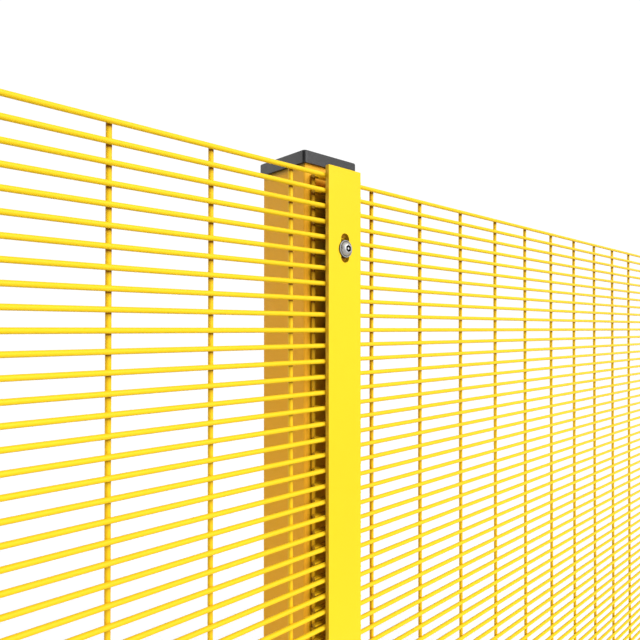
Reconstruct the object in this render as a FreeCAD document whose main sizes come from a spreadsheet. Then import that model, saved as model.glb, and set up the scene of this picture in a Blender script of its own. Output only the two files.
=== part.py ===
"""Welded mesh fence: two bays of close mesh clamped to three base-plated posts.

Millimetres. X runs along the fence, +Y away from the side that the clamps are on, +Z up.
The origin is under the middle post, on the floor, at the centre of its base plate.
Each panel is a row of horizontal line wires welded to the front of a row of upright cross wires.
At the middle post the left panel laps over the right one, so it lies two wires further forward,
and the left post stands that much further forward to meet it.
"""
import FreeCAD, Part
import math
import os

import Sketcher
from FreeCAD import Vector

SIZES = (
    ("line_pitch", 13.5, "centre to centre of the horizontal wires"),
    ("cross_pitch", 76.5, "centre to centre of the upright wires"),
    ("wire_size", 4.0, "wire diameter, which is the width across the flats here"),
    ("band_wires", 29, "horizontal wires in one band of a panel"),
    ("cross_count", 34, "upright wires in one panel"),
    ("wire_stub", 3.0, "horizontal wire past the axis of the end upright"),
    ("panel_lap", 22.0, "end upright past the centre of its post"),
    ("floor_gap", 50.0, "floor to the axis of the lowest wire"),
    ("post_width", 60.0, "post, along the fence"),
    ("post_depth", 60.0, "post, across the fence"),
    ("post_wall", 3.0, "wall of the hollow post"),
    ("post_corner", 2.0, "outer corner radius of the post"),
    ("post_rise", 19.1, "post top above the axis of the top wire"),
    ("bar_width", 40.0, "clamp bar, along the fence"),
    ("bar_thickness", 4.0, "clamp bar, across the fence"),
    ("bar_rise", 7.9, "clamp bar end past the axis of the top or lowest wire"),
    ("slot_width", 10.0, "slot in the clamp bar"),
    ("slot_length", 26.0, "slot in the clamp bar, from end to end"),
    ("slot_count", 4, "slots in one clamp bar"),
    ("slot_inset", 62.5, "end slot's centre from the axis of the top or lowest wire"),
    ("bolt_drop", 0.8, "bolt below the centre of its slot"),
    ("insert_hole", 11.0, "six-sided hole in the post for a bolt's threaded insert, across the flats"),
    ("cap_wall", 2.65, "skirt of the cap"),
    ("cap_clearance", 0.25, "cap skirt to post"),
    ("cap_top", 3.4, "top of the cap"),
    ("cap_skirt", 8.0, "cap skirt below the top of the post"),
    ("cap_corner", 2.2, "corner radius of the cap"),
    ("cap_edge", 1.0, "chamfer of the cap's top edge"),
    ("plate_width", 150.0, "base plate, along the fence"),
    ("plate_depth", 150.0, "base plate, across the fence"),
    ("plate_thickness", 8.0, "base plate"),
    ("plate_corner", 8.0, "corner radius of the base plate"),
    ("anchor_pitch_x", 110.0, "anchor holes, along the fence"),
    ("anchor_pitch_y", 110.0, "anchor holes, across the fence"),
    ("anchor_hole", 14.0, "anchor hole for a 12 mm anchor"),
)
BANDS = 5
SIDES = 6

LINE_COUNT = f"({BANDS} * sizes.band_wires)"
MESH_HEIGHT = f"(({LINE_COUNT} - 1) * sizes.line_pitch)"
MESH_LENGTH = "((sizes.cross_count - 1) * sizes.cross_pitch)"
TOP_WIRE = f"(sizes.floor_gap + {MESH_HEIGHT})"
PANEL_DEPTH = "(2 * sizes.wire_size)"
POST_PITCH = f"({MESH_LENGTH} - 2 * sizes.panel_lap)"
POST_TOP = f"({TOP_WIRE} + sizes.post_rise)"
SLOT_PITCH = f"(({MESH_HEIGHT} - 2 * sizes.slot_inset) / (sizes.slot_count - 1))"
LOWEST_BOLT = "(sizes.floor_gap + sizes.slot_inset - sizes.bolt_drop)"

# Each post: its X, its Y and the number of panel ends that its clamp bar holds
POSTS = {
    "left": (f"-{POST_PITCH}", f"-{PANEL_DEPTH}", 1),
    "middle": ("0", "0", 2),
    "right": (POST_PITCH, "0", 1),
}
# Each panel: the post that its first upright wire is on, and the Y of the face that it lies on
PANELS = {
    "left": (f"-{POST_PITCH}", f"(-sizes.post_depth / 2 - {PANEL_DEPTH})"),
    "right": ("0", "(-sizes.post_depth / 2)"),
}

doc = FreeCAD.newDocument("mesh_fence")
sheet = doc.addObject("Spreadsheet::Sheet", "sizes")
for row, (alias, size, note) in enumerate(SIZES, start=1):
    sheet.set(f"A{row}", alias)
    sheet.set(f"B{row}", str(size))
    sheet.setAlias(f"B{row}", alias)
    sheet.set(f"C{row}", note)
doc.recompute()


def number(expression):
    """The value of an expression, to start a sketch near its solved shape."""
    return float(sheet.evalExpression(expression.replace("sizes.", "")))


def new_body(label, x, y, z):
    """A body with its label and its place."""
    body = doc.addObject("PartDesign::Body", label)
    body.Label = label
    for axis, expression in zip("xyz", (x, y, z)):
        body.setExpression(f"Placement.Base.{axis}", expression)
    return body


def new_sketch(body, role, name):
    """A sketch on one of the body's own origin planes."""
    plane = next(p for p in body.Origin.OriginFeatures if p.Role == role)
    sketch = body.newObject("Sketcher::SketchObject", f"{body.Label}_{name}")
    sketch.AttachmentSupport = [(plane, "")]
    sketch.MapMode = "FlatFace"
    return sketch


def dimension(sketch, name, expression, *constraint):
    """A named sketch dimension that follows an expression."""
    index = sketch.addConstraint(Sketcher.Constraint(*constraint, number(expression)))
    sketch.renameConstraint(index, name)
    sketch.setExpression(f"Constraints.{name}", expression)


def rounded_rectangle(sketch, width, depth, radius):
    """A rectangle about the sketch's origin with round corners."""
    half_w = number(width) / 2
    half_d = number(depth) / 2
    r = number(radius)
    lines = []
    arcs = []
    for turn in range(4):
        along, across = (half_w, half_d) if turn % 2 == 0 else (half_d, half_w)
        spin = FreeCAD.Rotation(Vector(0, 0, 1), 90 * turn)
        start = spin.multVec(Vector(-along + r, -across, 0))
        end = spin.multVec(Vector(along - r, -across, 0))
        centre = spin.multVec(Vector(along - r, -across + r, 0))
        lines.append(sketch.addGeometry(Part.LineSegment(start, end)))
        circle = Part.Circle(centre, Vector(0, 0, 1), r)
        first = math.radians(90 * turn - 90)
        arcs.append(sketch.addGeometry(Part.ArcOfCircle(circle, first, first + math.pi / 2)))
    for turn in range(4):
        after = lines[(turn + 1) % 4]
        sketch.addConstraint(Sketcher.Constraint("Tangent", lines[turn], 2, arcs[turn], 1))
        sketch.addConstraint(Sketcher.Constraint("Tangent", arcs[turn], 2, after, 1))
        level = "Horizontal" if turn % 2 == 0 else "Vertical"
        sketch.addConstraint(Sketcher.Constraint(level, lines[turn]))
        if turn:
            sketch.addConstraint(Sketcher.Constraint("Equal", arcs[0], arcs[turn]))
    dimension(sketch, "radius", radius, "Radius", arcs[0])
    dimension(sketch, "front", f"{depth} / 2", "DistanceY", lines[0], 1, -1, 1)
    dimension(sketch, "back", f"{depth} / 2", "DistanceY", -1, 1, lines[2], 1)
    dimension(sketch, "right", f"{width} / 2", "DistanceX", -1, 1, lines[1], 1)
    dimension(sketch, "left", f"{width} / 2", "DistanceX", lines[3], 1, -1, 1)


def plain_rectangle(sketch, width, height):
    """A rectangle about the sketch's origin with sharp corners."""
    half_w = number(width) / 2
    half_h = number(height) / 2
    signs = ((-1, -1), (1, -1), (1, 1), (-1, 1))
    corners = [Vector(half_w * across, half_h * up, 0) for across, up in signs]
    sides = []
    for start, end in zip(corners, corners[1:] + corners[:1]):
        sides.append(sketch.addGeometry(Part.LineSegment(start, end)))
    for turn, side in enumerate(sides):
        sketch.addConstraint(Sketcher.Constraint("Coincident", side, 2, sides[(turn + 1) % 4], 1))
        sketch.addConstraint(Sketcher.Constraint("Horizontal" if turn % 2 == 0 else "Vertical", side))
    sketch.addConstraint(Sketcher.Constraint("Symmetric", sides[0], 1, sides[2], 1, -1, 1))
    dimension(sketch, "width", width, "DistanceX", sides[0], 1, sides[0], 2)
    dimension(sketch, "height", height, "DistanceY", sides[1], 1, sides[1], 2)


def upright_slot(sketch, width, length, drop):
    """A round-ended slot on the sketch's vertical axis, centred some way below its origin."""
    r = number(width) / 2
    middle = -number(drop)
    reach = number(length) / 2 - r
    z = Vector(0, 0, 1)
    top_circle = Part.Circle(Vector(0, middle + reach, 0), z, r)
    low_circle = Part.Circle(Vector(0, middle - reach, 0), z, r)
    top = sketch.addGeometry(Part.ArcOfCircle(top_circle, 0, math.pi))
    low = sketch.addGeometry(Part.ArcOfCircle(low_circle, math.pi, 2 * math.pi))
    left = sketch.addGeometry(Part.LineSegment(Vector(-r, middle + reach, 0), Vector(-r, middle - reach, 0)))
    right = sketch.addGeometry(Part.LineSegment(Vector(r, middle - reach, 0), Vector(r, middle + reach, 0)))
    for end, start in ((top, left), (left, low), (low, right), (right, top)):
        sketch.addConstraint(Sketcher.Constraint("Tangent", end, 2, start, 1))
    sketch.addConstraint(Sketcher.Constraint("PointOnObject", top, 3, -2))
    sketch.addConstraint(Sketcher.Constraint("PointOnObject", low, 3, -2))
    dimension(sketch, "radius", f"{width} / 2", "Radius", top)
    dimension(sketch, "straight", f"{length} - {width}", "DistanceY", low, 3, top, 3)
    dimension(sketch, "foot", f"{drop} + ({length} - {width}) / 2", "DistanceY", low, 3, -1, 1)


def polygon(sketch, across):
    """A regular polygon about the sketch's origin, with a flat to each side of it."""
    inner = number(across) / 2
    corner = inner / math.cos(math.pi / SIDES)
    angles = [2 * math.pi * k / SIDES for k in range(SIDES)]
    flat_first = math.pi / SIDES
    points = [Vector(corner * math.cos(a + flat_first), corner * math.sin(a + flat_first), 0) for a in angles]
    circle = sketch.addGeometry(Part.Circle(Vector(0, 0, 0), Vector(0, 0, 1), inner), True)
    sketch.addConstraint(Sketcher.Constraint("Coincident", circle, 3, -1, 1))
    sides = []
    for start, end in zip(points, points[1:] + points[:1]):
        sides.append(sketch.addGeometry(Part.LineSegment(start, end)))
    for turn, side in enumerate(sides):
        sketch.addConstraint(Sketcher.Constraint("Coincident", side, 2, sides[(turn + 1) % SIDES], 1))
        sketch.addConstraint(Sketcher.Constraint("Tangent", side, circle))
        if turn:
            sketch.addConstraint(Sketcher.Constraint("Equal", sides[0], side))
    sketch.addConstraint(Sketcher.Constraint("Vertical", sides[-1]))
    dimension(sketch, "across", across, "Diameter", circle)


def circles_at_corners(sketch, diameter, pitch_x, pitch_y):
    """Four round holes' outlines at the corners of a rectangle about the sketch's origin."""
    half_x = number(pitch_x) / 2
    half_y = number(pitch_y) / 2
    circles = []
    for x, y in ((-half_x, -half_y), (half_x, -half_y), (half_x, half_y), (-half_x, half_y)):
        outline = Part.Circle(Vector(x, y, 0), Vector(0, 0, 1), number(diameter) / 2)
        circles.append(sketch.addGeometry(outline))
    for other in circles[1:]:
        sketch.addConstraint(Sketcher.Constraint("Equal", circles[0], other))
    sketch.addConstraint(Sketcher.Constraint("Symmetric", circles[0], 3, circles[2], 3, -1, 1))
    sketch.addConstraint(Sketcher.Constraint("Symmetric", circles[1], 3, circles[3], 3, -1, 1))
    sketch.addConstraint(Sketcher.Constraint("Horizontal", circles[0], 3, circles[1], 3))
    sketch.addConstraint(Sketcher.Constraint("Vertical", circles[1], 3, circles[2], 3))
    dimension(sketch, "diameter", diameter, "Diameter", circles[0])
    dimension(sketch, "along", pitch_x, "DistanceX", circles[0], 3, circles[1], 3)
    dimension(sketch, "across", pitch_y, "DistanceY", circles[1], 3, circles[2], 3)


def pad(body, sketch, length):
    """The sketch grown along its normal."""
    feature = body.newObject("PartDesign::Pad", f"{body.Label}_pad")
    feature.Profile = sketch
    feature.setExpression("Length", length)
    sketch.Visibility = False
    return feature


def cut(body, sketch, name, **settings):
    """The sketch cut out of the body, which has to lose volume by it."""
    doc.recompute()
    before = body.Shape.Volume
    feature = body.newObject("PartDesign::Pocket", f"{body.Label}_{name}")
    feature.Profile = sketch
    for setting, content in settings.items():
        setattr(feature, setting, content)
    doc.recompute()
    if body.Shape.Volume >= before:
        raise RuntimeError(f"{feature.Label} cuts nothing")
    return feature


def row(body, original, axis, pitch, count, name):
    """A row of a feature along one axis of its sketch."""
    pattern = body.newObject("PartDesign::LinearPattern", f"{body.Label}_{name}")
    pattern.Originals = [original]
    pattern.Direction = (original.Profile[0], [axis])
    pattern.Mode = "Spacing"
    pattern.setExpression("Offset", pitch)
    pattern.setExpression("Occurrences", count)
    body.Tip = pattern
    return pattern


def make_post(side, x, y):
    """A hollow section from the base plate to the cap, with a hole for each bolt's insert in its front."""
    body = new_body(f"{side}_post", x, y, "sizes.plate_thickness")
    outline = new_sketch(body, "XY_Plane", "outline")
    rounded_rectangle(outline, "sizes.post_width", "sizes.post_depth", "sizes.post_corner")
    pad(body, outline, f"{POST_TOP} - sizes.plate_thickness")
    bore = new_sketch(body, "XY_Plane", "bore")
    plain_rectangle(bore, *[f"(sizes.post_{way} - 2 * sizes.post_wall)" for way in ("width", "depth")])
    cut(body, bore, "hollow", Type="ThroughAll", Reversed=True)
    hole = new_sketch(body, "XZ_Plane", "insert_hole")
    hole.setExpression("AttachmentOffset.Base.y", f"{LOWEST_BOLT} - sizes.plate_thickness")
    polygon(hole, "sizes.insert_hole")
    first = cut(body, hole, "insert_hole_cut", Type="ThroughAll", Reversed=True)
    row(body, first, "V_Axis", SLOT_PITCH, "sizes.slot_count", "insert_holes")
    return body


def make_base_plate(side, x, y):
    """A flat plate under the post with a hole for an anchor near each corner."""
    body = new_body(f"{side}_base_plate", x, y, "0")
    outline = new_sketch(body, "XY_Plane", "outline")
    rounded_rectangle(outline, "sizes.plate_width", "sizes.plate_depth", "sizes.plate_corner")
    pad(body, outline, "sizes.plate_thickness")
    holes = new_sketch(body, "XY_Plane", "anchor_holes")
    circles_at_corners(holes, "sizes.anchor_hole", "sizes.anchor_pitch_x", "sizes.anchor_pitch_y")
    cut(body, holes, "anchor_holes_cut", Type="ThroughAll", Reversed=True)
    return body


def make_cap(side, x, y):
    """A moulded cap whose top lies on the post's end and whose skirt goes round it."""
    body = new_body(f"{side}_post_cap", x, y, f"{POST_TOP} - sizes.cap_skirt")
    gap = "2 * sizes.cap_clearance"
    inside = [f"(sizes.post_{way} + {gap})" for way in ("width", "depth")]
    outside = [f"({size} + 2 * sizes.cap_wall)" for size in inside]
    outline = new_sketch(body, "XY_Plane", "outline")
    rounded_rectangle(outline, *outside, "sizes.cap_corner")
    pad(body, outline, "sizes.cap_skirt + sizes.cap_top")
    bore = new_sketch(body, "XY_Plane", "inside")
    plain_rectangle(bore, *inside)
    hollow = cut(body, bore, "hollow", Type="Length", Length=number("sizes.cap_skirt"), Reversed=True)
    hollow.setExpression("Length", "sizes.cap_skirt")
    doc.recompute()
    top = number("sizes.cap_skirt + sizes.cap_top")
    edges = [
        f"Edge{k}" for k, edge in enumerate(hollow.Shape.Edges, start=1)
        if min(vertex.Z for vertex in edge.Vertexes) > top - number("sizes.cap_top") / 2
    ]
    chamfer = body.newObject("PartDesign::Chamfer", f"{body.Label}_top_edge")
    chamfer.Base = (hollow, edges)
    chamfer.setExpression("Size", "sizes.cap_edge")
    return body


def make_clamp_bar(side, x, y, panel_ends):
    """A flat bar that holds the panel ends to the post, with an upright slot for each bolt."""
    front = f"({y} - sizes.post_depth / 2 - {panel_ends} * {PANEL_DEPTH})"
    body = new_body(f"{side}_clamp_bar", x, front, f"sizes.floor_gap + {MESH_HEIGHT} / 2")
    outline = new_sketch(body, "XZ_Plane", "outline")
    plain_rectangle(outline, "sizes.bar_width", f"({MESH_HEIGHT} + 2 * sizes.bar_rise)")
    pad(body, outline, "sizes.bar_thickness")
    slot = new_sketch(body, "XZ_Plane", "slot")
    upright_slot(slot, "sizes.slot_width", "sizes.slot_length", f"({MESH_HEIGHT} / 2 - sizes.slot_inset)")
    first = cut(body, slot, "slot_cut", Type="ThroughAll", Reversed=True)
    row(body, first, "V_Axis", SLOT_PITCH, "sizes.slot_count", "slots")
    return body


def make_cross_wires(side, x, face):
    """The upright wires of one panel, which lie against the post."""
    place = (f"{x} - sizes.panel_lap", f"{face} - sizes.wire_size / 2")
    body = new_body(f"{side}_panel_cross_wires", *place, "sizes.floor_gap - sizes.wire_size / 2")
    body.AllowCompound = True
    section = new_sketch(body, "XY_Plane", "section")
    section.AttachmentOffset = FreeCAD.Placement(Vector(), FreeCAD.Rotation(Vector(0, 0, 1), 90))
    polygon(section, "sizes.wire_size")
    wire = pad(body, section, f"{MESH_HEIGHT} + sizes.wire_size")
    wires = row(body, wire, "V_Axis", "sizes.cross_pitch", "sizes.cross_count", "wires")
    wires.Reversed = True
    return body


def make_line_wires(side, x, face, band):
    """One band of a panel's horizontal wires, welded to the front of the upright ones."""
    start = f"{x} - sizes.panel_lap - sizes.wire_stub"
    front = f"{face} - 1.5 * sizes.wire_size"
    height = f"sizes.floor_gap + {band} * sizes.band_wires * sizes.line_pitch"
    body = new_body(f"{side}_panel_line_wires_{band + 1}", start, front, height)
    body.AllowCompound = True
    section = new_sketch(body, "YZ_Plane", "section")
    polygon(section, "sizes.wire_size")
    wire = pad(body, section, f"{MESH_LENGTH} + 2 * sizes.wire_stub")
    row(body, wire, "V_Axis", "sizes.line_pitch", "sizes.band_wires", "wires")
    return body


pieces = []
for side, (x, y, panel_ends) in POSTS.items():
    pieces.append(make_base_plate(side, x, y))
    pieces.append(make_post(side, x, y))
    pieces.append(make_cap(side, x, y))
    pieces.append(make_clamp_bar(side, x, y, panel_ends))
for side, (x, face) in PANELS.items():
    pieces.append(make_cross_wires(side, x, face))
    for band in range(BANDS):
        pieces.append(make_line_wires(side, x, face, band))
doc.recompute()

for item in doc.Objects:
    if "Invalid" in item.State or "Error" in item.State:
        raise RuntimeError(f"{item.Label} failed: {item.State}")
for piece in pieces:
    if piece.Shape.isNull() or not piece.Shape.isValid():
        raise RuntimeError(f"{piece.Label} has no valid shape")

os.makedirs("parts", exist_ok=True)
for piece in pieces:
    piece.Shape.exportStep(f"parts/{piece.Label}.step")
    box = piece.Shape.BoundBox
    print(
        f"{piece.Label}: {len(piece.Shape.Solids)} solids, {piece.Shape.Volume:.0f} mm3, "
        f"X {box.XMin:.1f} to {box.XMax:.1f}, Y {box.YMin:.1f} to {box.YMax:.1f}, "
        f"Z {box.ZMin:.1f} to {box.ZMax:.1f}"
    )
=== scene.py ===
"""Welded mesh fence: two bays of close yellow mesh, clamped by slotted bars to three capped posts."""

import math

import bmesh
import bpy
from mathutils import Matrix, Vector


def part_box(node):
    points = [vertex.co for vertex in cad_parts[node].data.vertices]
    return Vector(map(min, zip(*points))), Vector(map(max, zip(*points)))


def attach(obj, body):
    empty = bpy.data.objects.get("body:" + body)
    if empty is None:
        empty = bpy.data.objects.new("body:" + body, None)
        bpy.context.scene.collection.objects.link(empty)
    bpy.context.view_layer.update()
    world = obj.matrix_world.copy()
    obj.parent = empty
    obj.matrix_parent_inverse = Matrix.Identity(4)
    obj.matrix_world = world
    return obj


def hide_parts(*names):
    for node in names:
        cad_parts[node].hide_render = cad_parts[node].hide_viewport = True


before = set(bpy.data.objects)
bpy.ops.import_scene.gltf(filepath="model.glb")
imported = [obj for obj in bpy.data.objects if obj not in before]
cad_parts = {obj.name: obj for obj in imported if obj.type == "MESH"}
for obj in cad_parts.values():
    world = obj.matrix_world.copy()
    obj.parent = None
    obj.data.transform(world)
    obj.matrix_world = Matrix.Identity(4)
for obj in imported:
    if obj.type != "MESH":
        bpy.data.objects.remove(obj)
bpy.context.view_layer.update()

MM = 0.001
X_AXIS = 0
Y_AXIS = 1
Z_AXIS = 2
SIDES = ("left", "middle", "right")
PANELS = ("left", "right")

# Mesh
WIRE_RADIUS = 2.0 * MM
WIRE_FACETS = 20
WIRE_END_ROUND = 0.5 * MM
LINE_COUNT = 145
LINE_BANDS = 5
LINE_PITCH = 13.5 * MM
CROSS_COUNT = 34
CROSS_PITCH = 76.5 * MM
WELD_RADIUS = 1.1 * MM
WELD_HALF_HEIGHT = 1.0 * MM
WELD_FACETS = 8
WELD_SMOOTH_ANGLE = 60

# Posts and caps
POST_CORNER = 2.0 * MM
POST_WALL = 3.0 * MM
CAP_CORNER = 3.6 * MM
CAP_TOP_ROUND = 1.5 * MM
CAP_TOP_SEGMENTS = 4
CAP_ARRIS = 0.2 * MM
CAP_SKIRT_WALL = 2.65 * MM
CAP_SKIRT = 8.0 * MM
CAP_SMOOTH_ANGLE = 30

# Foot plates and the weld beads on them
PLATE_CORNER = 8.0 * MM
PLATE_CORNER_SEGMENTS = 8
PLATE_EDGE_ROUND = 0.8 * MM
ANCHOR_PITCH_X = 110.0 * MM
ANCHOR_PITCH_Y = 110.0 * MM
ANCHOR_HOLE_RADIUS = 7.0 * MM
ANCHOR_HOLE_FACETS = 32
FOOT_WELD_LEG = 5.0 * MM
FOOT_WELD_ROUND = 0.96 * FOOT_WELD_LEG
FOOT_WELD_SEGMENTS = 3
FOOT_WELD_PROFILE = 0.35
FOOT_WELD_LONG_EDGE = 12.0 * MM
FOOT_WELD_CUTS = 15
FOOT_WELD_RIPPLE = 0.35 * MM
FOOT_WELD_SEED = 4
FOOT_WELD_SINK = 0.1 * MM
FOOT_WELD_SMOOTH_ANGLE = 80

# Clamp bars
SLOT_WIDTH = 10.0 * MM
SLOT_LENGTH = 26.0 * MM
SLOT_INSET = 62.5 * MM
SLOT_END_SEGMENTS = 10
BAR_EDGE_ROUND = 0.5 * MM

# Bolts, with a domed head on a collar and a pin in the socket
BOLTS_PER_POST = 4
BOLT_DROP = 0.8 * MM
BOLT_SMOOTH_ANGLE = 40
COLLAR_RADIUS = 7.7 * MM
COLLAR_THICKNESS = 1.4 * MM
COLLAR_ROUND = 0.45 * MM
COLLAR_SEGMENTS = 3
GROOVE_WIDTH = 0.5 * MM
GROOVE_DEPTH = 0.6 * MM
GROOVE_MARGIN = 0.1 * MM
DOME_RADIUS = 6.25 * MM
DOME_HEIGHT = 2.9 * MM
DOME_FLAT_RADIUS = 3.35 * MM
DOME_STEPS = 7
HEAD_TOP = COLLAR_THICKNESS + DOME_HEIGHT
HEAD_FACETS = 48
HEAD_ARRIS = 0.15 * MM
SOCKET_ACROSS_FLATS = 5.7 * MM
SOCKET_DEPTH = 2.6 * MM
SOCKET_SHADE_START = 0.2 * MM
PIN_RADIUS = 1.1 * MM
PIN_FACETS = 16
PIN_BELOW_FACE = 0.1 * MM
PIN_SINK = 0.2 * MM
PIN_ROUND = 0.2 * MM
THREAD_RADIUS = 4.0 * MM
WAIST_RADIUS = 2.1 * MM
THREAD_IN_POST = 9.0 * MM
SHANK_FACETS = 24
SHANK_SINK = 0.2 * MM
SHANK_ROUND = 0.4 * MM
INSERT_ACROSS_FLATS = 11.0 * MM
INSERT_PROUD = 1.0 * MM
INSERT_REACH = 8.0 * MM
INSERT_PLAY = 0.05 * MM
INSERT_ROUND = 0.4 * MM

# Shared by the pieces
HEXAGON = 6
CORNER_SEGMENTS = 6
EDGE_SEGMENTS = 2
SMOOTH_ANGLE = 50
LEVEL_NORMAL = 0.99
STEEP_NORMAL = 0.5
TINY = 1e-6
SLIVER = 5e-6


# Ways of shaping


def clear_selection():
    if bpy.context.mode != "OBJECT":
        bpy.ops.object.mode_set(mode="OBJECT")
    bpy.ops.object.select_all(action="DESELECT")


def make_active(piece):
    clear_selection()
    piece.select_set(True)
    bpy.context.view_layer.objects.active = piece


def settle(piece):
    """Puts the piece's place, turn and size into its mesh."""
    make_active(piece)
    bpy.ops.object.transform_apply(location=True, rotation=True, scale=True)


def named(name):
    """Names and settles the primitive that was just added."""
    piece = bpy.context.object
    piece.name = name
    settle(piece)
    return piece


def block(name, low, high):
    clear_selection()
    bpy.ops.mesh.primitive_cube_add(size=1, location=(low + high) / 2, scale=high - low)
    return named(name)


def rod(name, start, end, radius, facets):
    clear_selection()
    run = end - start
    bpy.ops.mesh.primitive_cylinder_add(
        vertices=facets,
        radius=radius,
        depth=run.length,
        location=(start + end) / 2,
        rotation=run.to_track_quat("Z", "Y").to_euler(),
    )
    return named(name)


def upright_rod(name, low_z, high_z, radius, facets):
    return rod(name, Vector((0, 0, low_z)), Vector((0, 0, high_z)), radius, facets)


def hexagon_radius(across_flats):
    return across_flats / 2 / math.cos(math.pi / HEXAGON)


def pick(piece, kind, holds=lambda element: True):
    """Selects, in edit mode, all faces, edges or vertices of a piece for which holds is true."""
    make_active(piece)
    bpy.ops.object.mode_set(mode="EDIT")
    bpy.ops.mesh.select_mode(type=kind)
    bpy.ops.mesh.select_all(action="DESELECT")
    shape = bmesh.from_edit_mesh(piece.data)
    elements = {"FACE": shape.faces, "EDGE": shape.edges, "VERT": shape.verts}[kind]
    for element in elements:
        if holds(element):
            element.select_set(True)
    bmesh.update_edit_mesh(piece.data)


def leave_edit():
    bpy.ops.object.mode_set(mode="OBJECT")


def runs_along(edge, axis):
    run = edge.verts[1].co - edge.verts[0].co
    return all(abs(run[i]) < TINY for i in range(3) if i != axis)


def lies_at(edge, axis, level):
    return all(abs(v.co[axis] - level) < TINY for v in edge.verts)


def faces_up(face):
    return face.normal.z > LEVEL_NORMAL


def faces_down(face):
    return face.normal.z < -LEVEL_NORMAL


def round_edges(piece, holds, radius, segments, profile=0.5):
    pick(piece, "EDGE", holds)
    bpy.ops.mesh.bevel(
        offset=radius,
        segments=segments,
        profile=profile,
        affect="EDGES",
        clamp_overlap=False,
    )
    leave_edit()


def round_corners(piece, radius, segments=CORNER_SEGMENTS, axis=Z_AXIS):
    round_edges(piece, lambda edge: runs_along(edge, axis), radius, segments)


def raise_faces(height):
    """Extrudes the selected faces along +Z."""
    bpy.ops.mesh.extrude_region_move(TRANSFORM_OT_translate={"value": (0, 0, height)})


def resize_round_axis(ratio, level):
    """Makes the selection wider or narrower about the Z axis."""
    bpy.ops.transform.resize(value=(ratio, ratio, 1), center_override=(0, 0, level))


def use_modifier(piece, kind, **settings):
    make_active(piece)
    modifier = piece.modifiers.new(kind.lower(), kind)
    for key, value in settings.items():
        setattr(modifier, key, value)
    bpy.ops.object.modifier_apply(modifier=modifier.name)


def in_row(piece, step, count):
    use_modifier(
        piece,
        "ARRAY",
        count=count,
        use_relative_offset=False,
        use_constant_offset=True,
        constant_offset_displace=step,
    )


def soften(piece, width, degrees=SMOOTH_ANGLE):
    """Rounds every edge that turns by more than an angle."""
    use_modifier(
        piece,
        "BEVEL",
        width=width,
        segments=EDGE_SEGMENTS,
        limit_method="ANGLE",
        angle_limit=math.radians(degrees),
    )


def smooth(piece, degrees=SMOOTH_ANGLE):
    make_active(piece)
    bpy.ops.object.shade_smooth_by_angle(angle=math.radians(degrees))
    use_modifier(piece, "WEIGHTED_NORMAL", keep_sharp=True)


def merge_slivers(piece):
    pick(piece, "VERT")
    bpy.ops.mesh.remove_doubles(threshold=SLIVER)
    bpy.ops.mesh.dissolve_degenerate(threshold=SLIVER)
    leave_edit()


def join(pieces):
    clear_selection()
    for piece in pieces:
        piece.select_set(True)
    bpy.context.view_layer.objects.active = pieces[0]
    if len(pieces) > 1:
        bpy.ops.object.join()
    return pieces[0]


def cut_out(piece, cutters):
    tool = join(cutters)
    use_modifier(piece, "BOOLEAN", operation="DIFFERENCE", solver="EXACT", object=tool)
    bpy.data.objects.remove(tool, do_unlink=True)


def face_front(piece, place):
    """Turns a piece made along +Z to point forwards from a place."""
    piece.rotation_euler = (math.pi / 2, 0, 0)
    piece.location = place
    settle(piece)


def copied(piece, shift):
    make_active(piece)
    bpy.ops.object.duplicate(linked=False)
    twin = bpy.context.object
    twin.location = shift
    settle(twin)
    return twin


def ride_as(piece, slot, *nodes):
    """Gives a finished piece its body and hides the solids that it stands for; the slot is not used."""
    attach(piece, "root")
    if nodes:
        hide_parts(*nodes)


def dress(piece, material, slot, *nodes):
    piece.data.materials.clear()
    piece.data.materials.append(material)
    ride_as(piece, slot, *nodes)


def finish_faces(piece, material, holds):
    """Gives some faces of a piece another finish."""
    piece.data.materials.append(material)
    pick(piece, "FACE", holds)
    piece.active_material_index = len(piece.data.materials) - 1
    bpy.ops.object.material_slot_assign()
    leave_edit()


# Finishes

# The film's colours, full and thin
YELLOW = (0.95, 0.65, 0.016)
THIN_YELLOW = (0.92, 0.59, 0.014)
# Painted shade: the uprights and welds get a slightly deeper copy of the wire yellow, for the shade they
# sit in behind the horizontal wires
UPRIGHT_SHADE_YELLOW = (0.94, 0.61, 0.018)
THIN_UPRIGHT_SHADE_YELLOW = (0.91, 0.55, 0.016)
# Painted shade: the posts and foot plates get a deeper, more orange copy of the mesh's yellow, for the hue
# the posts show in shade
POST_SHADE_YELLOW = (0.94, 0.5, 0.028)
THIN_POST_SHADE_YELLOW = (0.91, 0.45, 0.024)
FILM_SPECULAR = 0.12

# Painted shade, as tints of the film's colour: below the horizontal wires on uprights, on the bar's sides,
# behind clamp bars, below caps and on lapped wire ends
BELOW_WIRE_SHADE_TINT = (0.28, 0.18, 0.12)
BAR_SIDE_SHADE_TINT = (0.69, 0.63, 0.8)
CLAMP_GAP_SHADE_TINT = (1.0, 1.22, 0.7)
DEEP_GAP_SHADE_TINT = (0.32, 0.34, 0.3)
CAP_SHADOW_TINT = (0.3, 0.38, 0.9)
LAPPED_SHADE_TINT = (0.56, 0.48, 0.4)
LAPPED_UPRIGHT_SHADE_TINT = (0.87, 0.83, 1.0)
UNDERSIDE_SHADE_TINT = (0.45, 0.42, 0.3)
FLANK_SHADE_TINT = (0.5, 0.52, 0.3)

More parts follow.
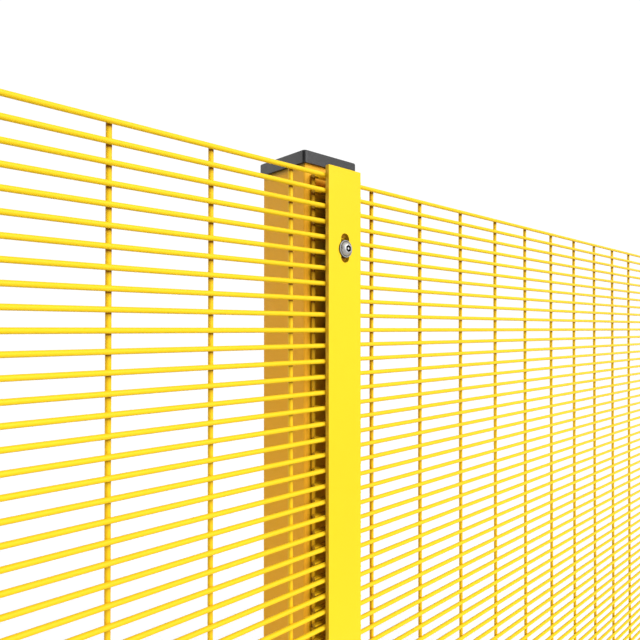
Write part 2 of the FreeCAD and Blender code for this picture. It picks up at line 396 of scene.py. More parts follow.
# Where a tint starts and where it is full, as a distance or as a part of the surface's normal
BELOW_WIRE_SHADE_FACING = (0.35, -0.15)
BAR_SIDE_SHADE_FACING = (0.8, 0.4)
HIDDEN_FACING = (-0.6, -0.9)
HIDDEN_HALF_WIDTH = (26.5 * MM, 23.5 * MM)
HIDDEN_END_INSET = (8.0 * MM, 18.0 * MM)
DEEP_HALF_WIDTH = (22.0 * MM, 8.0 * MM)
DEEP_DROP = (250.0 * MM, 60.0 * MM)
CORNER_FACING = (-0.8, -0.5)
CORNER_DROP = (5.5 * MM, 0.0)
LAPPED_HALF_WIDTH = (18.0 * MM, 16.0 * MM)
LAPPED_DROP = (6.0 * MM, 9.0 * MM)
UNDERSIDE_FACING = (0.2, -0.3)
FLANK_FACING = (-0.55, -0.2)

# The topmost wire gets the painted shade only to the left of this place
TOP_WIRE_END = -20.5 * MM
# Wires whose surface lies this far behind the front panel are behind the lap
LAP_MARGIN = 0.2 * MM
# How deep the painted shade is below each horizontal wire on an upright, by millimetres under the wire's
# axis
BELOW_WIRE_SHADE = ((0.0, 1.0), (2.6, 1.0), (3.1, 0.6), (3.7, 0.36), (4.7, 0.2), (6.5, 0.08), (9.0, 0.0))
# The part of a noise's range that holds most of its values
NOISE_MIDDLE = (0.3, 0.7)


def set_or_link(tree, socket, given):
    """Gives a socket a number, or links another socket to it."""
    if isinstance(given, (int, float)):
        socket.default_value = given
    else:
        tree.links.new(given, socket)


def noise(tree, vector, scale, detail):
    node = tree.nodes.new("ShaderNodeTexNoise")
    node.inputs["Detail"].default_value = detail
    tree.links.new(vector, node.inputs["Vector"])
    set_or_link(tree, node.inputs["Scale"], scale)
    return node.outputs["Fac"]


def ramp(tree, value, start, end):
    """0 up to the start and 1 from the end on, in whichever direction the end lies."""
    node = tree.nodes.new("ShaderNodeMapRange")
    node.inputs["From Min"].default_value = start
    node.inputs["From Max"].default_value = end
    tree.links.new(value, node.inputs["Value"])
    return node.outputs["Result"]


def spread(tree, value, low, high):
    """Maps the middle of a noise's range onto low to high, each a number or a socket."""
    result = ramp(tree, value, *NOISE_MIDDLE)
    set_or_link(tree, result.node.inputs["To Min"], low)
    set_or_link(tree, result.node.inputs["To Max"], high)
    return result


def tones(tree, value, stops):
    """The colour for a value, from stops of a position and a colour."""
    node = tree.nodes.new("ShaderNodeValToRGB")
    elements = node.color_ramp.elements
    while len(elements) < len(stops):
        elements.new(1.0)
    for element, (position, colour) in zip(elements, stops):
        element.position = position
        element.color = (*colour, 1)
    tree.links.new(value, node.inputs["Fac"])
    return node.outputs["Color"]


def maths(tree, operation, *values):
    node = tree.nodes.new("ShaderNodeMath")
    node.operation = operation
    for socket, value in zip(node.inputs, values):
        set_or_link(tree, socket, value)
    return node.outputs["Value"]


def product(tree, first, *others):
    for other in others:
        first = maths(tree, "MULTIPLY", first, other)
    return first


def axes(tree, label):
    """X, Y and Z of the surface's place ("Object") or of its direction ("Normal")."""
    node = tree.nodes.new("ShaderNodeSeparateXYZ")
    tree.links.new(tree.nodes.new("ShaderNodeTexCoord").outputs[label], node.inputs["Vector"])
    return node.outputs


def new_group(name, inputs, outputs):
    group = bpy.data.node_groups.new(name, "ShaderNodeTree")
    for sockets, direction in ((inputs, "INPUT"), (outputs, "OUTPUT")):
        for label, kind in sockets:
            group.interface.new_socket(name=label, in_out=direction, socket_type="NodeSocket" + kind)
    return group, group.nodes.new("NodeGroupInput"), group.nodes.new("NodeGroupOutput")


def make_film_group():
    """A sprayed film with a fine peel: its tone drifts over a hand's breadth, its gloss over a finger's."""
    group, given, result = new_group(
        "sprayed_film",
        (
            ("Vector", "Vector"),
            ("Colour", "Color"),
            ("Thin Colour", "Color"),
            ("Thin Share", "Float"),
            ("Peel Scale", "Float"),
            ("Gloss Low", "Float"),
            ("Gloss High", "Float"),
        ),
        (("Colour", "Color"), ("Roughness", "Float"), ("Height", "Float")),
    )
    values = given.outputs
    drift = noise(group, values["Vector"], scale=7.0, detail=3.0)
    tint = group.nodes.new("ShaderNodeMix")
    tint.data_type = "RGBA"
    group.links.new(spread(group, drift, 0.0, values["Thin Share"]), tint.inputs["Factor"])
    group.links.new(values["Colour"], tint.inputs["A"])
    group.links.new(values["Thin Colour"], tint.inputs["B"])
    sheen = noise(group, values["Vector"], scale=70.0, detail=2.0)
    gloss = spread(group, sheen, values["Gloss Low"], values["Gloss High"])
    peel = noise(group, values["Vector"], scale=values["Peel Scale"], detail=2.0)
    group.links.new(tint.outputs["Result"], result.inputs["Colour"])
    group.links.new(gloss, result.inputs["Roughness"])
    group.links.new(peel, result.inputs["Height"])
    return group


FILM = make_film_group()


def new_finish(name):
    material = bpy.data.materials.new(name)
    material.use_nodes = True
    tree = material.node_tree
    shader = tree.nodes["Principled BSDF"]
    place = tree.nodes.new("ShaderNodeTexCoord").outputs["Object"]
    return material, tree, shader, place


def raise_surface(tree, shader, height, strength, depth):
    bump = tree.nodes.new("ShaderNodeBump")
    bump.inputs["Strength"].default_value = strength
    bump.inputs["Distance"].default_value = depth
    tree.links.new(height, bump.inputs["Height"])
    tree.links.new(bump.outputs["Normal"], shader.inputs["Normal"])


def coated(name, colour, thin_colour, thin_share, peel_scale, peel_depth, gloss):
    material, tree, shader, place = new_finish(name)
    film = tree.nodes.new("ShaderNodeGroup")
    film.node_tree = FILM
    film.inputs["Colour"].default_value = (*colour, 1)
    film.inputs["Thin Colour"].default_value = (*thin_colour, 1)
    film.inputs["Thin Share"].default_value = thin_share
    film.inputs["Peel Scale"].default_value = peel_scale
    film.inputs["Gloss Low"].default_value = gloss[0]
    film.inputs["Gloss High"].default_value = gloss[1]
    tree.links.new(place, film.inputs["Vector"])
    tree.links.new(film.outputs["Colour"], shader.inputs["Base Color"])
    tree.links.new(film.outputs["Roughness"], shader.inputs["Roughness"])
    raise_surface(tree, shader, film.outputs["Height"], strength=0.6, depth=peel_depth)
    shader.inputs["Specular IOR Level"].default_value = FILM_SPECULAR
    return material


def multiply_in_painted_shade(material, mask, tint):
    """Paints shade: multiplies the film's colour by a tint where a mask of the material's own tree is 1."""
    tree = material.node_tree
    shader = tree.nodes["Principled BSDF"]
    film_colour = shader.inputs["Base Color"].links[0].from_socket
    mix = tree.nodes.new("ShaderNodeMix")
    mix.data_type = "RGBA"
    mix.blend_type = "MULTIPLY"
    mix.inputs["B"].default_value = (*tint, 1)
    tree.links.new(mask, mix.inputs["Factor"])
    tree.links.new(film_colour, mix.inputs["A"])
    tree.links.new(mix.outputs["Result"], shader.inputs["Base Color"])


def paint_shade_below_wires(material, first_line_z):
    """Painted shade on the front of an upright, in the corner below each horizontal wire where the wire's
    shadow falls.
    """
    tree = material.node_tree
    drop = maths(tree, "SUBTRACT", first_line_z, axes(tree, "Object")["Z"])
    below = maths(tree, "FLOORED_MODULO", maths(tree, "DIVIDE", drop, LINE_PITCH), 1.0)
    stops = [(distance * MM / LINE_PITCH, (depth, depth, depth)) for distance, depth in BELOW_WIRE_SHADE]
    facing = ramp(tree, axes(tree, "Normal")["Y"], *BELOW_WIRE_SHADE_FACING)
    multiply_in_painted_shade(material, product(tree, tones(tree, below, stops), facing), BELOW_WIRE_SHADE_TINT)


def paint_shade_on_bar_sides(material):
    """Painted shade: the bar's sides and ends and the walls of its slots are darker than its front and back
    faces.
    """
    tree = material.node_tree
    squareness = maths(tree, "ABSOLUTE", axes(tree, "Normal")["Y"])
    multiply_in_painted_shade(material, ramp(tree, squareness, *BAR_SIDE_SHADE_FACING), BAR_SIDE_SHADE_TINT)


def paint_shade_under_clamps(material, half_pitch, lowest_z, highest_z):
    """Painted shade on the strip of a post's front that its clamp bar and the mesh hide.

    It is darkest near the top. The posts stand two half pitches apart, so their middles are at offset 0.
    """
    tree = material.node_tree
    place = axes(tree, "Object")
    offset = maths(tree, "PINGPONG", place["X"], half_pitch)
    sideways = ramp(tree, offset, *HIDDEN_HALF_WIDTH)
    middle = (lowest_z + highest_z) / 2
    reach = (highest_z - lowest_z) / 2
    rise = maths(tree, "ABSOLUTE", maths(tree, "SUBTRACT", place["Z"], middle))
    covered = ramp(tree, rise, *(reach - inset for inset in HIDDEN_END_INSET))
    facing = ramp(tree, axes(tree, "Normal")["Y"], *HIDDEN_FACING)
    hidden = product(tree, sideways, covered, facing)
    multiply_in_painted_shade(material, hidden, CLAMP_GAP_SHADE_TINT)
    # A deeper painted shade towards the middle of the strip and near the top
    inward = ramp(tree, offset, *DEEP_HALF_WIDTH)
    upward = ramp(tree, place["Z"], *(highest_z - drop for drop in DEEP_DROP))
    multiply_in_painted_shade(material, product(tree, inward, upward, hidden), DEEP_GAP_SHADE_TINT)


def paint_shadow_under_caps(material, skirt_z):
    """Painted shadow of the cap on a post's sides and back, in the corner below the cap's skirt."""
    tree = material.node_tree
    near = ramp(tree, axes(tree, "Object")["Z"], *(skirt_z - drop for drop in CORNER_DROP))
    side = ramp(tree, axes(tree, "Normal")["Y"], *CORNER_FACING)
    multiply_in_painted_shade(material, product(tree, near, side), CAP_SHADOW_TINT)


def paint_shade_on_lapped_ends(material, lap_y, top_z, tint, axis, facing, side_tint):
    """Painted shade on wires under the middle clamp bar, and on the wire ends behind the lap.

    The topmost wire is left out, but for its end. A deeper painted shade lies on one side, where the normal
    along an axis lies in the facing range.
    """
    tree = material.node_tree
    place = axes(tree, "Object")
    # Behind the lap, all that lies left of the post's middle counts as lying at the middle
    least = maths(tree, "SUBTRACT", maths(tree, "GREATER_THAN", place["Y"], lap_y), 1.0)
    offset = maths(tree, "ABSOLUTE", maths(tree, "MAXIMUM", place["X"], least))
    below_top = ramp(tree, place["Z"], *(top_z - drop for drop in LAPPED_DROP))
    at_end = maths(tree, "LESS_THAN", place["X"], TOP_WIRE_END)
    covered = maths(tree, "MAXIMUM", below_top, at_end)
    lapped = product(tree, ramp(tree, offset, *LAPPED_HALF_WIDTH), covered)
    multiply_in_painted_shade(material, lapped, tint)
    side = ramp(tree, axes(tree, "Normal")[axis], *facing)
    multiply_in_painted_shade(material, product(tree, lapped, side), side_tint)


def moulded_plastic():
    material, tree, shader, place = new_finish("cap_plastic")
    grain = tree.nodes.new("ShaderNodeTexVoronoi")
    grain.inputs["Scale"].default_value = 1500.0
    tree.links.new(place, grain.inputs["Vector"])
    stops = ((0.3, (0.014, 0.014, 0.015)), (0.7, (0.02, 0.02, 0.021)))
    colour = tones(tree, noise(tree, place, scale=90.0, detail=4.0), stops)
    gloss = spread(tree, noise(tree, place, scale=160.0, detail=3.0), low=0.3, high=0.38)
    tree.links.new(colour, shader.inputs["Base Color"])
    tree.links.new(gloss, shader.inputs["Roughness"])
    raise_surface(tree, shader, grain.outputs["Distance"], strength=0.5, depth=0.06 * MM)
    shader.inputs["IOR"].default_value = 1.45
    shader.inputs["Specular IOR Level"].default_value = 0.33
    return material


def bare_steel(name, low, high):
    """Steel whose brightness varies finely from low to high."""
    material, tree, shader, place = new_finish(name)
    stops = ((0.35, (low, low, low)), (0.65, (high, high, high)))
    colour = tones(tree, noise(tree, place, scale=900.0, detail=3.0), stops)
    gloss = spread(tree, noise(tree, place, scale=700.0, detail=3.0), low=0.5, high=0.58)
    tree.links.new(colour, shader.inputs["Base Color"])
    tree.links.new(gloss, shader.inputs["Roughness"])
    grain = noise(tree, place, scale=2500.0, detail=2.0)
    raise_surface(tree, shader, grain, strength=0.4, depth=0.02 * MM)
    shader.inputs["Metallic"].default_value = 1.0
    return material


POST_COAT = {"thin_share": 0.5, "peel_scale": 420.0, "peel_depth": 0.07 * MM, "gloss": (0.4, 0.52)}
BAR_COAT = {"thin_share": 0.4, "peel_scale": 420.0, "peel_depth": 0.06 * MM, "gloss": (0.38, 0.5)}
WIRE_COAT = {"thin_share": 0.6, "peel_scale": 520.0, "peel_depth": 0.012 * MM, "gloss": (0.36, 0.48)}
COATED_POST = coated("coated_post", POST_SHADE_YELLOW, THIN_POST_SHADE_YELLOW, **POST_COAT)
COATED_FOOT = coated("coated_foot", POST_SHADE_YELLOW, THIN_POST_SHADE_YELLOW, **POST_COAT)
COATED_BAR = coated("coated_bar", YELLOW, THIN_YELLOW, **BAR_COAT)
COATED_WIRE = coated("coated_wire", YELLOW, THIN_YELLOW, **WIRE_COAT)
COATED_UPRIGHT = coated("coated_upright", UPRIGHT_SHADE_YELLOW, THIN_UPRIGHT_SHADE_YELLOW, **WIRE_COAT)
CAP_PLASTIC = moulded_plastic()
STAINLESS = bare_steel("stainless_steel", low=0.33, high=0.41)
# Painted shade: a darker copy of the head's steel for the collar's ring
COLLAR_SHADE_STEEL = bare_steel("collar_steel", low=0.21, high=0.26)
# Painted shade: near-black steel in the socket, on the pin's sides, in the groove round the dome, on the
# collar's outer edge and on the shank
DARK_STEEL_FOR_SHADE = bare_steel("dark_steel_for_shade", low=0.03, high=0.07)


# Mesh panels


def first_of_row(low, high, count, pitch):
    """The place of the first of a row that is centred between two places."""
    return (low + high) / 2 - (count - 1) / 2 * pitch


def line_nodes(side):
    return [f"{side}_panel_line_wires_{i + 1}" for i in range(LINE_BANDS)]


def line_reach(side):
    """The lowest and highest corners of all the horizontal wires of a panel."""
    nodes = line_nodes(side)
    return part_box(nodes[0])[0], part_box(nodes[-1])[1]


def first_line_height(side):
    low, high = line_reach(side)
    return first_of_row(low.z, high.z, LINE_COUNT, LINE_PITCH)


def make_wire(name, start, end, axis):
    wire = rod(name, start, end, WIRE_RADIUS, WIRE_FACETS)
    round_edges(
        wire,
        lambda edge: lies_at(edge, axis, start[axis]) or lies_at(edge, axis, end[axis]),
        WIRE_END_ROUND,
        EDGE_SEGMENTS,
    )
    return wire


def make_weld(name, seat):
    """One weld: a short eight-sided stud between two crossing wires, turned to have a flat on top."""
    half = Vector((0, WELD_HALF_HEIGHT, 0))
    weld = rod(name, seat - half, seat + half, WELD_RADIUS, WELD_FACETS)
    pick(weld, "VERT")
    bpy.ops.transform.rotate(
        value=math.pi / WELD_FACETS,
        orient_axis="Y",
        orient_type="GLOBAL",
        center_override=seat,
    )
    leave_edit()
    return weld


def make_panel(side):
    """A panel's horizontal wires, its upright wires behind them, and the welds where they cross."""
    low, high = line_reach(side)
    line_y = (low.y + high.y) / 2
    first_z = first_line_height(side)
    line_step = (0, 0, LINE_PITCH)
    lines = make_wire(
        f"{side}_panel_line_wires",
        Vector((low.x, line_y, first_z)),
        Vector((high.x, line_y, first_z)),
        X_AXIS,
    )
    in_row(lines, line_step, LINE_COUNT)
    smooth(lines)
    dress(lines, COATED_WIRE, "mesh", *line_nodes(side))

    uprights_node = f"{side}_panel_cross_wires"
    low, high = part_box(uprights_node)
    upright_y = (low.y + high.y) / 2
    first_x = first_of_row(low.x, high.x, CROSS_COUNT, CROSS_PITCH)
    upright_step = (CROSS_PITCH, 0, 0)
    uprights = make_wire(
        f"{side}_panel_uprights",
        Vector((first_x, upright_y, low.z)),
        Vector((first_x, upright_y, high.z)),
        Z_AXIS,
    )
    in_row(uprights, upright_step, CROSS_COUNT)
    smooth(uprights)
    dress(uprights, COATED_UPRIGHT, "mesh", uprights_node)

    seam_y = (line_y + upright_y) / 2
    welds = make_weld(f"{side}_panel_welds", Vector((first_x, seam_y, first_z)))
    in_row(welds, line_step, LINE_COUNT)
    in_row(welds, upright_step, CROSS_COUNT)
    smooth(welds, WELD_SMOOTH_ANGLE)
    dress(welds, COATED_UPRIGHT, "mesh")


# Posts, caps and foot plates


def make_post(side, heights):
    node = f"{side}_post"
    low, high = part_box(node)
    centre_x = (low.x + high.x) / 2
    tube = block(f"{side}_post_tube", low, high)
    round_corners(tube, POST_CORNER)
    pick(tube, "FACE", lambda face: faces_up(face) or faces_down(face))
    bpy.ops.mesh.delete(type="ONLY_FACE")
    leave_edit()
    use_modifier(tube, "SOLIDIFY", thickness=POST_WALL, offset=-1.0, use_even_offset=True)
    reach = 2 * POST_WALL
    punches = []
    for z in heights:
        punch = upright_rod("punch", -reach, reach, hexagon_radius(INSERT_ACROSS_FLATS), HEXAGON)
        face_front(punch, Vector((centre_x, low.y, z - BOLT_DROP)))
        punches.append(punch)
    cut_out(tube, punches)
    smooth(tube)
    dress(tube, COATED_POST, "post", node)


def make_cap(side):
    node = f"{side}_post_cap"
    low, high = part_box(node)
    cap = block(f"{side}_post_cap_moulding", low, high)
    round_corners(cap, CAP_CORNER)
    pick(cap, "FACE", faces_down)
    bpy.ops.mesh.inset(thickness=CAP_SKIRT_WALL)
    raise_faces(CAP_SKIRT)
    leave_edit()
    round_edges(cap, lambda edge: lies_at(edge, Z_AXIS, high.z), CAP_TOP_ROUND, CAP_TOP_SEGMENTS)
    soften(cap, CAP_ARRIS, CAP_SMOOTH_ANGLE)
    smooth(cap, CAP_SMOOTH_ANGLE)
    dress(cap, CAP_PLASTIC, "cap", node)


def make_foot_plate(side):
    node = f"{side}_base_plate"
    low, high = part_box(node)
    centre = (low + high) / 2
    plate = block(f"{side}_foot_plate", low, high)
    round_corners(plate, PLATE_CORNER, PLATE_CORNER_SEGMENTS)
    reach = Vector((0, 0, high.z - low.z))
    drills = []
    for across in (-ANCHOR_PITCH_X / 2, ANCHOR_PITCH_X / 2):
        for along in (-ANCHOR_PITCH_Y / 2, ANCHOR_PITCH_Y / 2):
            spot = centre + Vector((across, along, 0))
            drills.append(rod("drill", spot - reach, spot + reach, ANCHOR_HOLE_RADIUS, ANCHOR_HOLE_FACETS))
    cut_out(plate, drills)
    soften(plate, PLATE_EDGE_ROUND)
    smooth(plate)
    dress(plate, COATED_FOOT, "post", node)


def make_foot_weld(side):
    """The hollow, slightly rippled weld bead between a post and its foot plate."""
    low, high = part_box(f"{side}_post")
    plate_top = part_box(f"{side}_base_plate")[1].z
    crown = plate_top + FOOT_WELD_LEG
    leg = Vector((FOOT_WELD_LEG, FOOT_WELD_LEG, 0))
    bead = block(
        f"{side}_foot_weld",
        Vector((low.x, low.y, plate_top)) - leg,
        Vector((high.x, high.y, crown)) + leg,
    )
    round_corners(bead, POST_CORNER + FOOT_WELD_LEG)
    round_edges(
        bead,
        lambda edge: lies_at(edge, Z_AXIS, crown),
        FOOT_WELD_ROUND,
        FOOT_WELD_SEGMENTS,
        FOOT_WELD_PROFILE,
    )
    pick(bead, "EDGE", lambda edge: edge.calc_length() > FOOT_WELD_LONG_EDGE)
    bpy.ops.mesh.subdivide(number_cuts=FOOT_WELD_CUTS)
    leave_edit()
    pick(bead, "VERT", lambda v: plate_top + TINY < v.co.z < crown - TINY)
    bpy.ops.transform.vertex_random(offset=FOOT_WELD_RIPPLE, uniform=1.0, normal=0.0, seed=FOOT_WELD_SEED)
    leave_edit()
    core = block(
        "core",
        Vector((low.x + FOOT_WELD_SINK, low.y + FOOT_WELD_SINK, plate_top - FOOT_WELD_LEG)),
        Vector((high.x - FOOT_WELD_SINK, high.y - FOOT_WELD_SINK, crown + FOOT_WELD_LEG)),
    )
    round_corners(core, POST_CORNER)
    cut_out(bead, [core])
    smooth(bead, FOOT_WELD_SMOOTH_ANGLE)
    dress(bead, COATED_FOOT, "post")


# Clamp bars and their bolts


def slot_heights(first_z, last_z):
    lowest = first_z + SLOT_INSET
    highest = last_z - SLOT_INSET
    pitch = (highest - lowest) / (BOLTS_PER_POST - 1)
    return [lowest + i * pitch for i in range(BOLTS_PER_POST)]


def make_clamp_bar(side, heights):
    node = f"{side}_clamp_bar"
    low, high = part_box(node)
    centre_x = (low.x + high.x) / 2
    bar = block(f"{side}_clamp_strip", low, high)
    reach = high.y - low.y
    half = Vector((SLOT_WIDTH / 2, 0, SLOT_LENGTH / 2))
    mills = []
    for z in heights:
        mill = block(
            "mill",
            Vector((centre_x, low.y - reach, z)) - half,
            Vector((centre_x, high.y + reach, z)) + half,
        )
        round_corners(mill, SLOT_WIDTH / 2 - TINY, SLOT_END_SEGMENTS, Y_AXIS)
        mills.append(mill)
    cut_out(bar, mills)
    soften(bar, BAR_EDGE_ROUND)
    smooth(bar)
    dress(bar, COATED_BAR, "clamp", node)


def distance_from_axis(place):
    return math.hypot(place.x, place.y)


def is_in_socket(face):
    centre = face.calc_center_median()
    within = distance_from_axis(centre) < hexagon_radius(SOCKET_ACROSS_FLATS)
    return within and centre.z < HEAD_TOP - SOCKET_SHADE_START


def is_in_groove_or_edge(face):
    """The groove round the dome and the collar's outer edge."""
    centre = face.calc_center_median()
    outside = distance_from_axis(centre) > DOME_RADIUS - GROOVE_MARGIN
    return outside and TINY < centre.z < COLLAR_THICKNESS - COLLAR_ROUND


def is_on_collar(face):
    """The collar's seen ring, from the groove to its rounded rim."""
    centre = face.calc_center_median()
    outside = distance_from_axis(centre) > DOME_RADIUS + GROOVE_WIDTH / 2
    return outside and centre.z > COLLAR_THICKNESS - COLLAR_ROUND


def is_collar_rim(edge):
    on_rim = all(distance_from_axis(v.co) > COLLAR_RADIUS - TINY for v in edge.verts)
    return on_rim and lies_at(edge, Z_AXIS, COLLAR_THICKNESS)


def raise_dome():
    """Builds the dome on the selected face, in steps along an arc."""
    drop = (DOME_RADIUS**2 - DOME_FLAT_RADIUS**2 - DOME_HEIGHT**2) / (2 * DOME_HEIGHT)
    ball = math.hypot(DOME_RADIUS, drop)
    first_angle = math.asin(drop / ball)
    last_angle = math.asin((drop + DOME_HEIGHT) / ball)
    radius = DOME_RADIUS
    height = 0.0
    for step in range(1, DOME_STEPS + 1):
        angle = first_angle + (last_angle - first_angle) * step / DOME_STEPS
        new_height = ball * math.sin(angle) - drop
        new_radius = ball * math.cos(angle)
        raise_faces(new_height - height)
        resize_round_axis(new_radius / radius, COLLAR_THICKNESS + new_height)
        radius = new_radius
        height = new_height


def make_head():
    """A domed head on a grooved collar, with a socket; its seat is at the origin and it points along +Z."""
    head = upright_rod("bolt", 0, COLLAR_THICKNESS, COLLAR_RADIUS, HEAD_FACETS)
    pick(head, "FACE", faces_up)
    bpy.ops.mesh.inset(thickness=COLLAR_RADIUS - DOME_RADIUS - GROOVE_WIDTH)
    raise_faces(-GROOVE_DEPTH)
    bpy.ops.mesh.inset(thickness=GROOVE_WIDTH)
    raise_faces(GROOVE_DEPTH)
    raise_dome()
    leave_edit()
    round_edges(head, is_collar_rim, COLLAR_ROUND, COLLAR_SEGMENTS)
    socket = upright_rod(
        "socket",
        HEAD_TOP - SOCKET_DEPTH,
        HEAD_TOP + SOCKET_DEPTH,
        hexagon_radius(SOCKET_ACROSS_FLATS),
        HEXAGON,
    )
    cut_out(head, [socket])
    soften(head, HEAD_ARRIS)
    merge_slivers(head)
    head.data.materials.append(STAINLESS)
    # Painted shade: the collar's ring gets the darker copy of the steel
    finish_faces(head, COLLAR_SHADE_STEEL, is_on_collar)
    # Painted shade: the groove, the collar's outer edge and the socket get near-black steel
    finish_faces(head, DARK_STEEL_FOR_SHADE, lambda face: is_in_groove_or_edge(face) or is_in_socket(face))
    return head


def make_pin():
    pin = upright_rod(
        "pin",
        HEAD_TOP - SOCKET_DEPTH - PIN_SINK,
        HEAD_TOP - PIN_BELOW_FACE,
        PIN_RADIUS,
        PIN_FACETS,
    )
    soften(pin, PIN_ROUND)
    pin.data.materials.append(STAINLESS)
    # Painted shade on the pin's sides
    finish_faces(pin, DARK_STEEL_FOR_SHADE, lambda face: abs(face.normal.z) < STEEP_NORMAL)
    return pin


def make_shank(bar, stack):
    """The thread, waisted between the bar and the post, where it passes the mesh."""
    shank = upright_rod("shank", -stack - THREAD_IN_POST, SHANK_SINK, THREAD_RADIUS, SHANK_FACETS)
    for level in (-bar, -stack):
        pick(shank, "FACE")
        bpy.ops.mesh.bisect(plane_co=(0, 0, level), plane_no=(0, 0, 1))
        leave_edit()
    middle = -(bar + stack) / 2
    pick(shank, "FACE", lambda face: abs(face.calc_center_median().z - middle) < TINY)
    resize_round_axis(WAIST_RADIUS / THREAD_RADIUS, middle)
    leave_edit()
    soften(shank, SHANK_ROUND)
    # Painted shade: the shank is near-black steel
    shank.data.materials.append(DARK_STEEL_FOR_SHADE)
    return shank


def make_insert(stack):
    """The six-sided threaded insert in the post's front wall."""
    insert = upright_rod(
        "insert",
        -stack - INSERT_REACH,
        INSERT_PROUD - stack,
        hexagon_radius(INSERT_ACROSS_FLATS) - INSERT_PLAY,
        HEXAGON,
    )
    soften(insert, INSERT_ROUND)
    insert.data.materials.append(STAINLESS)
    return insert


def make_bolts(side, heights):
    low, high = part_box(f"{side}_clamp_bar")
    centre_x = (low.x + high.x) / 2
    bar = high.y - low.y
    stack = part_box(f"{side}_post")[0].y - low.y
    bolt = join([make_head(), make_pin(), make_shank(bar, stack), make_insert(stack)])
    face_front(bolt, Vector())
    bolts = join([copied(bolt, Vector((centre_x, low.y, z - BOLT_DROP))) for z in heights])
    bpy.data.objects.remove(bolt, do_unlink=True)
    bolts.name = f"{side}_clamp_bolts"
    smooth(bolts, BOLT_SMOOTH_ANGLE)
    ride_as(bolts, "bolt")


# The whole fence

first_line = first_line_height("left")
last_line = first_line + (LINE_COUNT - 1) * LINE_PITCH
lap_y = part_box("left_panel_cross_wires")[1].y + LAP_MARGIN
half_pitch = (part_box("right_post")[0].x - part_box("middle_post")[0].x) / 2
skirt_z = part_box("middle_post_cap")[0].z
heights = slot_heights(first_line, last_line)

paint_shade_on_bar_sides(COATED_BAR)
paint_shade_below_wires(COATED_UPRIGHT, first_line)
paint_shade_on_lapped_ends(COATED_WIRE, lap_y, last_line, LAPPED_SHADE_TINT, "Z", UNDERSIDE_FACING, UNDERSIDE_SHADE_TINT)
paint_shade_on_lapped_ends(COATED_UPRIGHT, lap_y, last_line, LAPPED_UPRIGHT_SHADE_TINT, "Y", FLANK_FACING, FLANK_SHADE_TINT)
paint_shade_under_clamps(COATED_POST, half_pitch, first_line, last_line)
paint_shadow_under_caps(COATED_POST, skirt_z)

for side in PANELS:
    make_panel(side)
for side in SIDES:
    make_post(side, heights)
    make_cap(side)
    make_foot_plate(side)
    make_foot_weld(side)
    make_clamp_bar(side, heights)
    make_bolts(side, heights)


# Floor, light and camera

FLOOR_SIZE = 60.0
FLOOR_COLOUR = (0.75, 0.75, 0.75, 1)
FLOOR_GLOW = (0.5, 0.5, 0.5, 1)

# The white room, with a dark spot that only reflections find
AMBIENT = (0.1, 0.1, 0.1, 1)
WHITE = (1, 1, 1, 1)
BACKDROP = 1.05
ROOM_STRENGTH = 1.0
DARK_STRENGTH = 0.03
DARK_SIDE = Vector((-0.998, -0.06, 0))
DARK_EDGE = (0.6, 0.82)

KEY_AZIMUTH = math.radians(14)
KEY_ELEVATION = math.radians(27)
KEY_STRENGTH = 3.6
KEY_SOFTNESS = math.radians(58)
FILL_AZIMUTH = math.radians(-130)
FILL_ELEVATION = math.radians(15)
FILL_STRENGTH = 1.35
FILL_SOFTNESS = math.radians(60)
LAMP_DISTANCE = 6.0

CAMERA_PLACE = Vector((-0.3545, -0.40013, 1.8601))
CAMERA_TURN = math.radians(47.306)
CAMERA_RISE = math.radians(0.473)
CAMERA_LENS = 31.72
CAMERA_SENSOR = 36.0
CAMERA_SHIFT_X = 0.0016
CAMERA_SHIFT_Y = 0.0066
CAMERA_NEAREST = 0.01
CAMERA_FARTHEST = 200.0


def seen_directly(tree):
    """1 for what the camera sees, straight or in a reflection, and 0 for light on surfaces."""
    path = tree.nodes.new("ShaderNodeLightPath").outputs
    reflected = maths(tree, "MAXIMUM", path["Is Camera Ray"], path["Is Glossy Ray"])
    return maths(tree, "MAXIMUM", reflected, path["Is Transmission Ray"])


def make_floor():
    clear_selection()
    bpy.ops.mesh.primitive_plane_add(size=FLOOR_SIZE)
    floor = bpy.context.object
    floor.name = "floor"
    material = bpy.data.materials.new("floor_white")
    material.use_nodes = True
    tree = material.node_tree
    tree.nodes.remove(tree.nodes["Principled BSDF"])
    paint = tree.nodes.new("ShaderNodeBsdfDiffuse")
    paint.inputs["Color"].default_value = FLOOR_COLOUR
    glow = tree.nodes.new("ShaderNodeEmission")
    glow.inputs["Color"].default_value = FLOOR_GLOW
    tree.links.new(seen_directly(tree), glow.inputs["Strength"])
    both = tree.nodes.new("ShaderNodeAddShader")
    tree.links.new(paint.outputs[0], both.inputs[0])
    tree.links.new(glow.outputs[0], both.inputs[1])
    tree.links.new(both.outputs[0], tree.nodes["Material Output"].inputs["Surface"])
    floor.data.materials.append(material)


def room_brightness(tree):
    """The room's brightness in each direction, fading to the dark spot at the left."""
    towards = tree.nodes.new("ShaderNodeVectorMath")
    towards.operation = "DOT_PRODUCT"
    towards.inputs[1].default_value = DARK_SIDE
    tree.links.new(tree.nodes.new("ShaderNodeTexCoord").outputs["Generated"], towards.inputs[0])
    brightness = ramp(tree, towards.outputs["Value"], *DARK_EDGE)
    brightness.node.interpolation_type = "SMOOTHSTEP"
    brightness.node.inputs["To Min"].default_value = ROOM_STRENGTH
    brightness.node.inputs["To Max"].default_value = DARK_STRENGTH
    return brightness


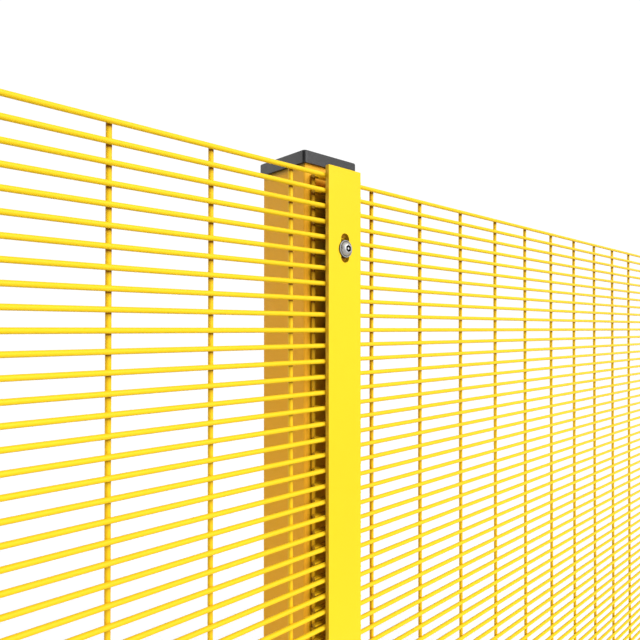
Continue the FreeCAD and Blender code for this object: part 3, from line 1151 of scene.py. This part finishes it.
def light_world():
    """Even light on surfaces, the room in reflections, and white behind the fence."""
    world = bpy.data.worlds.new("white_room")
    world.use_nodes = True
    bpy.context.scene.world = world
    tree = world.node_tree
    path = tree.nodes.new("ShaderNodeLightPath").outputs
    room = room_brightness(tree)
    background = tree.nodes["Background"]
    background.inputs["Color"].default_value = AMBIENT
    shown = background.outputs[0]
    seen = (("Is Glossy Ray", room), ("Is Transmission Ray", room), ("Is Camera Ray", BACKDROP))
    for label, strength in seen:
        view = tree.nodes.new("ShaderNodeBackground")
        view.inputs["Color"].default_value = WHITE
        set_or_link(tree, view.inputs["Strength"], strength)
        mix = tree.nodes.new("ShaderNodeMixShader")
        tree.links.new(path[label], mix.inputs["Fac"])
        tree.links.new(shown, mix.inputs[1])
        tree.links.new(view.outputs[0], mix.inputs[2])
        shown = mix.outputs[0]
    tree.links.new(shown, tree.nodes["World Output"].inputs["Surface"])


def add_sun(name, azimuth, elevation, strength, softness):
    """A far lamp; its azimuth is counted from the front of the fence towards its right."""
    data = bpy.data.lights.new(name, "SUN")
    data.energy = strength
    data.angle = softness
    lamp = bpy.data.objects.new(name, data)
    bpy.context.scene.collection.objects.link(lamp)
    level = math.cos(elevation)
    towards = Vector((level * math.sin(azimuth), -level * math.cos(azimuth), math.sin(elevation)))
    lamp.location = towards * LAMP_DISTANCE
    lamp.rotation_euler = towards.to_track_quat("Z", "Y").to_euler()


def add_camera():
    data = bpy.data.cameras.new("camera")
    data.lens = CAMERA_LENS
    data.sensor_width = CAMERA_SENSOR
    data.shift_x = CAMERA_SHIFT_X
    data.shift_y = CAMERA_SHIFT_Y
    data.clip_start = CAMERA_NEAREST
    data.clip_end = CAMERA_FARTHEST
    camera = bpy.data.objects.new("camera", data)
    bpy.context.scene.collection.objects.link(camera)
    camera.location = CAMERA_PLACE
    level = math.cos(CAMERA_RISE)
    ahead = Vector((math.cos(CAMERA_TURN) * level, math.sin(CAMERA_TURN) * level, math.sin(CAMERA_RISE)))
    camera.rotation_euler = ahead.to_track_quat("-Z", "Y").to_euler()
    bpy.context.scene.camera = camera


make_floor()
light_world()
add_sun("key", KEY_AZIMUTH, KEY_ELEVATION, KEY_STRENGTH, KEY_SOFTNESS)
add_sun("fill", FILL_AZIMUTH, FILL_ELEVATION, FILL_STRENGTH, FILL_SOFTNESS)
add_camera()
bpy.context.scene.view_settings.view_transform = "Standard"
